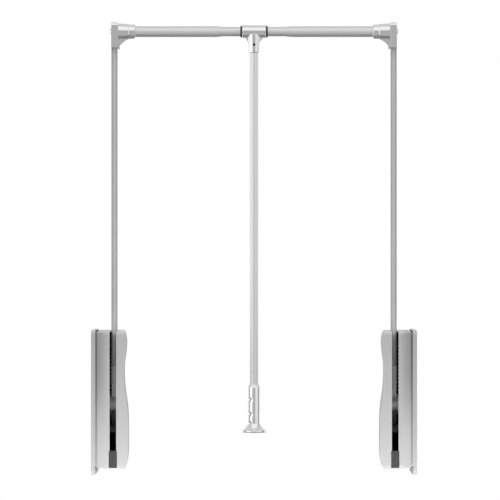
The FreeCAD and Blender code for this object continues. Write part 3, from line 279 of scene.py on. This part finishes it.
finishes = {
    "plate_paint": finish("silver_lacquer_plate", lacquer(level=0.51, sheen=0.5, metal=0.05),
                          Specular_IOR_Level=0.15),
    "housing_silver": finish("silver_lacquer_housing", lacquered_shell(level=0.56, sheen=0.5, metal=0.05),
                             Specular_IOR_Level=0.15),
    "pad_grey": finish("grey_rubber_pad", moulded(level=0.064, sheen=0.7, grain=900.0)),
    "zinc_steel": finish("zinc_plated_steel", satin(level=0.6, stretch=ALONG_X, sheen=0.38),
                         Metallic=1.0),
    "spring_steel": finish("bright_spring_steel", satin(level=0.5, stretch=ALONG_Z, sheen=0.32),
                           Metallic=1.0),
    "damper_steel": finish("black_damper_paint", moulded(level=0.035, sheen=0.42, grain=1500.0)),
    "hub_casting": finish("zinc_casting", casting(level=0.86, sheen=0.55), Metallic=0.15),
    "stop_rubber": finish("black_stop_rubber", moulded(level=0.025, sheen=0.75, grain=1100.0)),
    "bush_black": finish("black_bush_plastic", moulded(level=0.03, sheen=0.45, grain=1400.0)),
    "glide_white": finish("white_glide_plastic", moulded(level=0.7, sheen=0.45, grain=1400.0)),
    "arm_satin": finish("grey_lacquer_arm", lacquer(level=0.61, sheen=0.6, metal=0.0),
                        Specular_IOR_Level=0.0),
    "tube_satin": finish("satin_chrome_tube", satin(level=0.82, stretch=ALONG_X, sheen=0.52),
                         Metallic=1.0),
    "handle_satin": finish("satin_chrome_handle", satin(level=0.84, stretch=ALONG_Z, sheen=0.5),
                           Metallic=1.0),
    "corner_chrome": finish("polished_chrome", polished(level=0.88, sheen=0.1), Metallic=1.0),
    "grip_chrome": finish("polished_chrome_grip", polished(level=0.9, sheen=0.2), Metallic=1.0),
    "screw_dark": finish("black_oxide_screw", moulded(level=0.04, sheen=0.4, grain=1500.0),
                         Metallic=0.6),
}
for name, thing in nodes.items():
    thing.data.materials.clear()
    thing.data.materials.append(finishes[slot_of[name]])


def body_of_node(name):
    for body, members in frame["record"]["behaviour"]["bodies"].items():
        if name in members:
            return body
    raise KeyError(name)


def add_piece(name, mesh):
    thing = bpy.data.objects.new(name, mesh)
    bpy.context.scene.collection.objects.link(thing)
    return thing


def stand_for(thing, name):
    """A finished piece takes the place, the body and the finish of a CAD node."""
    thing.data.materials.clear()
    thing.data.materials.append(finishes[slot_of[name]])
    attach(thing, body_of_node(name))
    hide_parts(name)
    return thing


def shade(mesh, angle=38):
    mesh.shade_smooth()
    mesh.set_sharp_from_angle(angle=math.radians(angle))


WELD = 1e-6
FLAT_ANGLE = 0.4


def merged_copy(name):
    """A CAD node's triangles joined at their corners, with flat faces made whole again."""
    shape = bmesh.new()
    shape.from_mesh(nodes[name].data)
    bmesh.ops.remove_doubles(shape, verts=shape.verts, dist=WELD)
    bmesh.ops.dissolve_limit(shape, angle_limit=math.radians(FLAT_ANGLE), verts=shape.verts,
                             edges=shape.edges)
    return shape


SHADOW_LINE = 11.2 * MM
SLOT_EDGE = 34.1 * MM
CROWN_DROP = 3.5 * MM
CROWN_STRIPS = 12
TOP_ROUND = 4.6 * MM
PLATE_ROUND = 2.2 * MM
ROUND_STEPS = 5
RIM_ANGLE = 40
CUT_REACH = 1e-7


def fine_crown(shape, name):
    """The crowned front and back of a housing base, in fine strips on their arc."""
    low, high = (Vector(corner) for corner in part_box(name))
    side = -1 if low.x < 0 else 1
    run = SLOT_EDGE - SHADOW_LINE
    radius = (run ** 2 + CROWN_DROP ** 2) / (2 * CROWN_DROP)
    wall = side * WALL_FACE
    for strip in range(1, CROWN_STRIPS):
        cut = wall - side * (SHADOW_LINE + run * strip / CROWN_STRIPS)
        bmesh.ops.bisect_plane(shape, geom=[*shape.verts, *shape.edges, *shape.faces], dist=CUT_REACH,
                               plane_co=(cut, 0, 0), plane_no=(1, 0, 0))
    for corner in shape.verts:
        away = SLOT_EDGE - side * (wall - corner.co.x)
        if 0 <= away <= run:
            reach = high.y - radius + math.sqrt(radius ** 2 - away ** 2)
            if abs(abs(corner.co.y) - reach) < FACET_SAG:
                corner.co.y = math.copysign(reach, corner.co.y)


def round_top(shape, name, width=TOP_ROUND):
    """A broad round along the edges of a piece's top."""
    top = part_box(name)[1][2]
    rim = [edge for edge in shape.edges
           if all(top - corner.co.z < FACET_SAG for corner in edge.verts) and len(edge.link_faces) == 2
           and edge.calc_face_angle() > math.radians(RIM_ANGLE)]
    bmesh.ops.bevel(shape, geom=rim, offset=width, segments=ROUND_STEPS, profile=0.5, affect="EDGES",
                    clamp_overlap=True)


def crowned(shape, name):
    fine_crown(shape, name)
    round_top(shape, name)


def rounded_plate(shape, name):
    round_top(shape, name, PLATE_ROUND)


def even_faces(thing):
    """Broad faces keep their own direction up to the rounded edges beside them."""
    rule = thing.modifiers.new("even_faces", "WEIGHTED_NORMAL")
    rule.keep_sharp = True
    ready = thing.evaluated_get(bpy.context.evaluated_depsgraph_get())
    mesh = bpy.data.meshes.new_from_object(ready)
    thing.modifiers.remove(rule)
    thing.data = mesh


def soften(name, width, segments=3, angle=32, refine=None):
    """A CAD node with its hard edges rounded off, kept inside the box of that node."""
    shape = merged_copy(name)
    if refine:
        refine(shape, name)
    hard = [edge for edge in shape.edges
            if len(edge.link_faces) == 2 and edge.calc_face_angle() > math.radians(angle)]
    bmesh.ops.bevel(shape, geom=hard, offset=width, segments=segments, profile=0.5, affect="EDGES",
                    clamp_overlap=True)
    low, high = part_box(name)
    for corner in shape.verts:
        corner.co = [min(max(value, least), most) for value, least, most in zip(corner.co, low, high)]
    mesh = bpy.data.meshes.new(name + "_soft")
    shape.to_mesh(mesh)
    shape.free()
    shade(mesh)
    thing = add_piece(name + "_soft", mesh)
    even_faces(thing)
    return stand_for(thing, name)


LIFT = 0.3 * MM
RAYS = 12
RAY_SPREAD = 1.2
RAY_REACH = 300 * MM
CLOSED_SHARE = 0.6


# The mark made here is where the housing lacquer gets its painted shade.
def mark_inside(thing, around):
    """Marks the faces that look into a hollow: most rays that leave them meet a wall again."""
    walls = bmesh.new()
    for name in around:
        walls.from_mesh(nodes[name].data)
    tree = BVHTree.FromBMesh(walls)
    walls.free()
    mesh = thing.data
    mesh.calc_loop_triangles()
    widest = {}
    for triangle in mesh.loop_triangles:
        if triangle.area > widest.get(triangle.polygon_index, (0.0, None))[0]:
            widest[triangle.polygon_index] = (triangle.area, triangle.center)
    mark = mesh.attributes.new("inside", "FLOAT", "FACE")
    for face in mesh.polygons:
        start = Vector(widest[face.index][1]) + face.normal * LIFT
        across = face.normal.orthogonal().normalized()
        along = face.normal.cross(across)
        met = 0
        for turn in range(RAYS):
            angle = 2 * math.pi * turn / RAYS
            way = face.normal + (across * math.cos(angle) + along * math.sin(angle)) * RAY_SPREAD
            met += tree.ray_cast(start, way.normalized(), RAY_REACH)[0] is not None
        mark.data[face.index].value = 1.0 if met > RAYS * CLOSED_SHARE else 0.0


HOUSING_EDGE = 0.7 * MM
PLATE_EDGE = 0.6 * MM
PAD_EDGE = 0.9 * MM
HEAD_EDGE = 2.2 * MM
SOCKET_EDGE = 0.8 * MM
TEE_EDGE = 0.7 * MM
BUSH_EDGE = 0.4 * MM
HEAD_STEPS = 5
TURNED_STEPS = 4
TURNED_ANGLE = 20
for side in SIDES:
    walls = [f"housing_base_{side}", f"housing_cover_{side}"]
    mark_inside(soften(walls[0], HOUSING_EDGE, refine=crowned), walls)
    mark_inside(soften(walls[1], HOUSING_EDGE, refine=round_top), walls)
    soften(f"wall_plate_{side}", PLATE_EDGE, refine=rounded_plate)
    soften(f"slot_pad_{side}", PAD_EDGE)
    soften(f"corner_head_{side}", HEAD_EDGE, HEAD_STEPS)
    soften(f"tube_socket_{side}", SOCKET_EDGE, TURNED_STEPS, TURNED_ANGLE)
soften("tee_connector", TEE_EDGE, TURNED_STEPS, TURNED_ANGLE)
soften("tee_bushes", BUSH_EDGE)


class ShapeRule(Graph):
    """A Geometry Nodes tree with named inputs, run on one object and kept as a plain mesh."""

    KINDS = {"Shape": "NodeSocketGeometry", "Finish": "NodeSocketMaterial", "Place": "NodeSocketVector",
             "Turn": "NodeSocketVector"}

    def __init__(self, name, inputs):
        super().__init__(bpy.data.node_groups.new(name, "GeometryNodeTree"))
        for label in inputs:
            kind = self.KINDS.get(label, "NodeSocketFloat")
            self.tree.interface.new_socket(label, in_out="INPUT", socket_type=kind)
        self.tree.interface.new_socket("Shape", in_out="OUTPUT", socket_type="NodeSocketGeometry")
        self.source = self.tree.nodes.new("NodeGroupInput")

    def given(self, label):
        return Wire(self, self.source.outputs[label])

    def close(self, shape):
        real = self.node("GeometryNodeRealizeInstances", {}, {"Geometry": shape})
        done = self.node("GeometryNodeSetMaterial", {},
                         {"Geometry": real, "Material": self.given("Finish")})
        self.node("NodeGroupOutput", {}, {"Shape": done})

    def run(self, thing, **values):
        rule = thing.modifiers.new("rule", "NODES")
        rule.node_group = self.tree
        for item in self.tree.interface.items_tree:
            if item.in_out == "INPUT" and item.name in values:
                rule[item.identifier] = values[item.name]
        ready = thing.evaluated_get(bpy.context.evaluated_depsgraph_get())
        mesh = bpy.data.meshes.new_from_object(ready)
        thing.modifiers.remove(rule)
        thing.data = mesh


# The balance springs: a round wire wound between two seats.

COIL_STEPS = 28
WIRE_STEPS = 14
WIRE = 1.25 * MM
SPRING_TURNS = 12.0

spring_rule = ShapeRule("wound_spring", ["Shape", "Mean", "Wire", "Turns", "Height", "Place", "Finish"])
coil = spring_rule.node("GeometryNodeCurveSpiral", {}, {
    "Resolution": COIL_STEPS, "Rotations": spring_rule.given("Turns"),
    "Start Radius": spring_rule.given("Mean"), "End Radius": spring_rule.given("Mean"),
    "Height": spring_rule.given("Height")})
section = spring_rule.node("GeometryNodeCurvePrimitiveCircle", {}, {
    "Resolution": WIRE_STEPS, "Radius": spring_rule.given("Wire")})
wound = spring_rule.node("GeometryNodeCurveToMesh", {}, {
    "Curve": coil, "Profile Curve": section, "Fill Caps": True})
smooth = spring_rule.node("GeometryNodeSetShadeSmooth", {}, {0: wound})
spring_rule.close(spring_rule.node("GeometryNodeTransform", {}, {
    "Geometry": smooth, "Translation": spring_rule.given("Place")}))

for side in SIDES:
    name = f"balance_spring_{side}"
    low, high = (Vector(corner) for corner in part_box(name))
    middle = (low + high) / 2
    height = high.z - low.z - 2 * WIRE
    spring = add_piece(name + "_wound", bpy.data.meshes.new(name + "_wound"))
    spring_rule.run(spring, Mean=(high.x - low.x) / 2 - WIRE, Wire=WIRE, Turns=SPRING_TURNS, Height=height,
                    Place=(middle.x, middle.y, low.z + WIRE), Finish=finishes["spring_steel"])
    stand_for(spring, name)
    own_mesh(spring)

# The driven screws: a six sided recess sunk into the head of the two corner screws and of the tee screw.

KEY_SIDES = 6
CORNER_KEY = 2.6 * MM
CORNER_KEY_DEPTH = 2.6 * MM
TEE_KEY = 1.5 * MM
TEE_KEY_DEPTH = 2.0 * MM
SCREW_ANGLE = 30

recess_rule = ShapeRule("hex_recess", ["Shape", "Radius", "Depth", "Place", "Turn", "Finish"])
key_hole = recess_rule.node("GeometryNodeMeshCylinder", {}, {
    "Vertices": KEY_SIDES, "Radius": recess_rule.given("Radius"), "Depth": recess_rule.given("Depth")})
key_hole = recess_rule.node("GeometryNodeTransform", {}, {
    "Geometry": key_hole, "Translation": recess_rule.given("Place"), "Rotation": recess_rule.given("Turn")})
recess_rule.close(recess_rule.node("GeometryNodeMeshBoolean", {"operation": "DIFFERENCE"}, {
    "Mesh 1": recess_rule.given("Shape"), "Mesh 2": key_hole}))


def drive(name, radius, depth, place, turn):
    shape = merged_copy(name)
    mesh = bpy.data.meshes.new(name + "_driven")
    shape.to_mesh(mesh)
    shape.free()
    screw = add_piece(name + "_driven", mesh)
    recess_rule.run(screw, Radius=radius, Depth=2 * depth, Place=place, Turn=turn,
                    Finish=finishes[slot_of[name]])
    shade(screw.data, SCREW_ANGLE)
    stand_for(screw, name)


for side in SIDES:
    low, high = (Vector(corner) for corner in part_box(f"corner_screw_{side}"))
    face = low.x if side == "left" else high.x
    drive(f"corner_screw_{side}", CORNER_KEY, CORNER_KEY_DEPTH,
          (face, (low.y + high.y) / 2, (low.z + high.z) / 2), (0, math.pi / 2, 0))
low, high = (Vector(corner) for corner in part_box("tee_screw"))
drive("tee_screw", TEE_KEY, TEE_KEY_DEPTH,
      ((low.x + high.x) / 2, low.y, (low.z + high.z) / 2), (math.pi / 2, 0, 0))

# The grip: a chromed turning over a flared foot, with three finger grooves on its left and a gentle waist
# across from each. Its measures are in millimetres.

SWELL = 11.9
WAISTS = (17.0, 35.0, 61.5)
WAIST_REACH = 10.0
WAIST_DEPTH = 0.4
GROOVE_REACH = 5.5
GROOVE_DEPTH = 2.5
GROOVE_SLANT = 2.5
SIDE_FADE = 1.5
GRIP_TURNS = 96
GRIP_ANGLE = 50
DISH = [(0.0, 1.6), (8.0, 1.6), (15.0, 1.4), (18.6, 0.6), (20.4, 0.0), (21.8, 0.0)]
RIM_MIDDLE = 21.8
RIM_REACH = 23.15
RIM_LOW = 1.35
RIM_HIGH = 2.9
RIM_TOP = 4.25
RIM_STEPS = 4
FLARE_FOOT = (19.3, 5.0)
FLARE_TOP = 15.6
FLARE_HOLLOW = 30.0
FLARE_STEPS = 12
BODY_STEP = 0.67
BODY_STEPS = 100
SHOULDER_FOOT = 82.6
SHOULDER_TOP = (8.7, 89.5)
SHOULDER_MIDDLE = 4.82
SHOULDER_STEPS = 9
BORE = 7.9
BORE_TOP = 89.6
BORE_FLOOR = 60.0


def arc_points(start, end, centre, steps):
    """Points on a round from start to end about a centre, all as (radius, height)."""
    first = math.atan2(start[1] - centre[1], start[0] - centre[0])
    last = math.atan2(end[1] - centre[1], end[0] - centre[0])
    last = first + math.remainder(last - first, 2 * math.pi)
    reach = math.hypot(start[0] - centre[0], start[1] - centre[1])
    angles = [first + (last - first) * step / steps for step in range(steps + 1)]
    return [(centre[0] + reach * math.cos(angle), centre[1] + reach * math.sin(angle)) for angle in angles]


def hollow_points(start, end, radius, steps):
    """Points on a hollow of one radius between two points of the grip."""
    run, rise = end[0] - start[0], end[1] - start[1]
    chord = math.hypot(run, rise)
    away = math.sqrt(radius ** 2 - chord ** 2 / 4) / chord
    centre = ((start[0] + end[0]) / 2 + rise * away, (start[1] + end[1]) / 2 - run * away)
    return arc_points(start, end, centre, steps)


def grip_profile():
    """Half outline of the grip in millimetres, from the middle of its underside round to its bore."""
    rim_low = arc_points((RIM_MIDDLE, 0.0), (RIM_REACH, RIM_LOW), (RIM_MIDDLE, RIM_LOW), RIM_STEPS)
    rim_high = arc_points((RIM_REACH, RIM_HIGH), (RIM_MIDDLE, RIM_TOP), (RIM_MIDDLE, RIM_HIGH), RIM_STEPS)
    flare = hollow_points(FLARE_FOOT, (SWELL, FLARE_TOP), FLARE_HOLLOW, FLARE_STEPS)
    body = [(SWELL, FLARE_TOP + BODY_STEP * step) for step in range(1, BODY_STEPS)]
    shoulder = arc_points((SWELL, SHOULDER_FOOT), SHOULDER_TOP, (SHOULDER_MIDDLE, SHOULDER_FOOT),
                          SHOULDER_STEPS)
    bore = [(BORE, BORE_TOP), (BORE, BORE_FLOOR), (0.0, BORE_FLOOR)]
    return DISH + rim_low + rim_high + flare + body + shoulder + bore


def drawn_in(height, reach):
    """How far the grip is drawn in at a height, from 0 between the waists to 1 in one."""
    nearest = min(abs(height - waist) for waist in WAISTS)
    return math.cos(min(nearest / reach, 1.0) * math.pi / 2) ** 2


def grip_reach(radius, height, angle):
    """The radius of the grip in one direction: grooves on the left, gentle waists on the right."""
    if radius < SWELL:
        return radius
    left = max(0.0, -math.cos(angle)) ** SIDE_FADE
    right = max(0.0, math.cos(angle)) ** SIDE_FADE
    groove = GROOVE_DEPTH * left * drawn_in(height + GROOVE_SLANT * (1 - left), GROOVE_REACH)
    return radius - groove - WAIST_DEPTH * right * drawn_in(height, WAIST_REACH)


def make_grip(name):
    low, high = (Vector(corner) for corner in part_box(name))
    axis = (low + high) / 2
    shape = bmesh.new()
    rings = []
    for radius, height in grip_profile():
        level = low.z + height * MM
        if radius == 0.0:
            rings.append([shape.verts.new((axis.x, axis.y, level))])
            continue
        ring = []
        for turn in range(GRIP_TURNS):
            angle = 2 * math.pi * turn / GRIP_TURNS
            reach = grip_reach(radius, height, angle) * MM
            place = (axis.x + reach * math.cos(angle), axis.y + reach * math.sin(angle), level)
            ring.append(shape.verts.new(place))
        rings.append(ring)
    for first, second in zip(rings, rings[1:]):
        for turn in range(GRIP_TURNS):
            after = (turn + 1) % GRIP_TURNS
            if len(first) == 1:
                shape.faces.new((first[0], second[after], second[turn]))
            elif len(second) == 1:
                shape.faces.new((first[turn], first[after], second[0]))
            else:
                shape.faces.new((first[turn], first[after], second[after], second[turn]))
    bmesh.ops.remove_doubles(shape, verts=shape.verts, dist=WELD)
    bmesh.ops.recalc_face_normals(shape, faces=shape.faces)
    mesh = bpy.data.meshes.new(name + "_turned")
    shape.to_mesh(mesh)
    shape.free()
    shade(mesh, GRIP_ANGLE)
    stand_for(add_piece(name + "_turned", mesh), name)


make_grip("grip")

# Light, floor and camera. The world and the floor answer each kind of ray in its own way: the camera sees
# white, metal mirrors a graded studio, and everything else is lit by a dim room besides the lamps.


FRONT_LEVEL = 0.46
RIGHT_LEVEL = 0.84
CARD_LEVEL = 0.62
LEFT_LEVEL = 1.2
BACK_LEVEL = 1.0
CEILING_LEVEL = 0.68
CEILING_FRONT = 1.0
ROOM_LEVEL = 0.06
ROOM_FRONT = 0.12
ROOM_ABOVE = 0.2
WHITE = 1.0


def toward(level, target, share):
    """A level moved part of the way to another one."""
    return level + (target - level) * share


def studio_walls(graph, across, ahead):
    """What metal mirrors at eye level: a grey room in front, white on the left, a paler right with a grey
    card at its far end, and the white background behind."""
    shown = toward(FRONT_LEVEL, RIGHT_LEVEL, graph.between(across, 0.25, 0.5, 0.0, 1.0))
    shown = toward(shown, CARD_LEVEL, graph.between(across, 0.92, 1.0, 0.0, 1.0))
    shown = toward(shown, LEFT_LEVEL, graph.between(across, -0.4, -0.66, 0.0, 1.0))
    return toward(shown, BACK_LEVEL, graph.between(ahead, 0.0, 0.45, 0.0, 1.0))


def ray_kinds(graph):
    """Shares of the rays from the camera or through glass, and of those that metal mirrors."""
    path = graph.tree.nodes.new("ShaderNodeLightPath")
    seen = Wire(graph, path.outputs["Is Camera Ray"]) + Wire(graph, path.outputs["Is Transmission Ray"])
    return seen, Wire(graph, path.outputs["Is Glossy Ray"])


def even(graph, level):
    """A grey from one level."""
    return graph.node("ShaderNodeCombineXYZ", {}, {0: level, 1: level, 2: level})


world = bpy.data.worlds.new("studio")
bpy.context.scene.world = world
world.use_nodes = True
sky = Graph(world.node_tree)
seen, mirrored = ray_kinds(sky)
across, ahead, upward = split(sky, sky.node("ShaderNodeTexCoord", {}, {}, "Generated"))
ceiling = toward(CEILING_LEVEL, CEILING_FRONT, sky.between(ahead, -0.15, -0.4, 0.0, 1.0))
shown = toward(studio_walls(sky, across, ahead), ceiling, sky.between(upward, 0.12, 0.42, 0.0, 1.0))
room = toward(ROOM_LEVEL, ROOM_FRONT, sky.between(ahead, -0.2, -0.9, 0.0, 1.0))
room = toward(room, ROOM_ABOVE, sky.between(upward, 0.3, 0.9, 0.0, 1.0))
level = toward(toward(room, shown, mirrored), WHITE, seen)
light = sky.node("ShaderNodeBackground", {}, {"Color": even(sky, level), "Strength": 1.0})
sky.node("ShaderNodeOutputWorld", {}, {"Surface": light})


def add_lamp(name, place, target, width, height, power):
    lamp = bpy.data.lights.new(name, "AREA")
    lamp.shape = "RECTANGLE"
    lamp.size = width
    lamp.size_y = height
    lamp.energy = power
    thing = bpy.data.objects.new(name, lamp)
    bpy.context.scene.collection.objects.link(thing)
    aim = (Vector(target) - Vector(place)).to_track_quat("-Z", "Y")
    thing.matrix_world = Matrix.Translation(place) @ aim.to_matrix().to_4x4()
    thing.visible_glossy = False
    thing.visible_camera = False


# Each lamp: its name, its place, the point it faces, its width, its height and its power.
MIDDLE = (0, 0, 0.45)
LAMPS = [
    ("softbox_left", (-4.2, -6.74, 4.68), MIDDLE, 1.9, 3.8, 210.0),
    ("softbox_right", (4.2, -6.74, 4.68), MIDDLE, 1.9, 3.8, 201.0),
    ("softbox_above", (0, -0.5, 3.0), (0, 0, 0.5), 2.4, 1.2, 48.0),
    ("softbox_behind", (0, 7.5, 4.5), MIDDLE, 3.8, 1.9, 240.0),
    ("low_card_-1", (-0.27, -0.27, -0.27), (-0.27, -0.05, 0.1), 0.16, 0.16, 1.6),
    ("low_card_1", (0.27, -0.27, -0.27), (0.27, -0.05, 0.1), 0.16, 0.16, 1.6),
]
for lamp in LAMPS:
    add_lamp(*lamp)

FLOOR_DROP = 0.36
REACH = 30.0
FLOOR_NEAR = 0.22
FLOOR_FRONT = 0.46
FLOOR_GREY = 0.18
floor_mesh = bpy.data.meshes.new("floor")
floor_mesh.from_pydata([(x, y, -FLOOR_DROP) for x, y in ((-REACH, -REACH), (REACH, -REACH), (REACH, REACH),
                                                         (-REACH, REACH))], [], [(0, 1, 2, 3)])
floor = add_piece("floor", floor_mesh)
floor_paint = bpy.data.materials.new("white_floor")
floor_paint.use_nodes = True
paint = Graph(floor_paint.node_tree)
seen, mirrored = ray_kinds(paint)
where = paint.node("ShaderNodeTexCoord", {}, {}, "Object")
distance = paint.node("ShaderNodeVectorMath", {"operation": "LENGTH"}, {0: where}, "Value")
facing = paint.node("ShaderNodeVectorMath", {"operation": "NORMALIZE"}, {0: where})
across, ahead, _ = split(paint, facing)
near = paint.between(split(paint, where)[1], -0.2, -0.8, FLOOR_NEAR, FLOOR_FRONT)
shown = toward(near, studio_walls(paint, across, ahead), paint.between(distance, 0.8, 2.6, 0.0, 1.0))
matt = paint.node("ShaderNodeBsdfDiffuse", {}, {"Color": (FLOOR_GREY, FLOOR_GREY, FLOOR_GREY, 1.0)})
walls = paint.node("ShaderNodeEmission", {}, {"Color": even(paint, shown), "Strength": 1.0})
white = paint.node("ShaderNodeEmission", {}, {"Color": (1.0, 1.0, 1.0, 1.0), "Strength": 1.0})
sheet = paint.node("ShaderNodeMixShader", {}, {0: mirrored, 1: matt, 2: walls})
sheet = paint.node("ShaderNodeMixShader", {}, {0: seen, 1: sheet, 2: white})
paint.node("ShaderNodeOutputMaterial", {}, {"Surface": sheet})
floor_mesh.materials.append(floor_paint)

eye = bpy.data.cameras.new("camera")
eye.lens = 179.4
eye.sensor_width = 36.0
eye.sensor_fit = "HORIZONTAL"
eye.shift_x = -0.0081
eye.clip_end = 200.0
camera = bpy.data.objects.new("camera", eye)
camera.location = (0.0, -4.638, 0.414)
camera.rotation_euler = (math.pi / 2, 0.0, 0.0)
bpy.context.scene.collection.objects.link(camera)
bpy.context.scene.camera = camera
bpy.context.scene.view_settings.view_transform = "Standard"
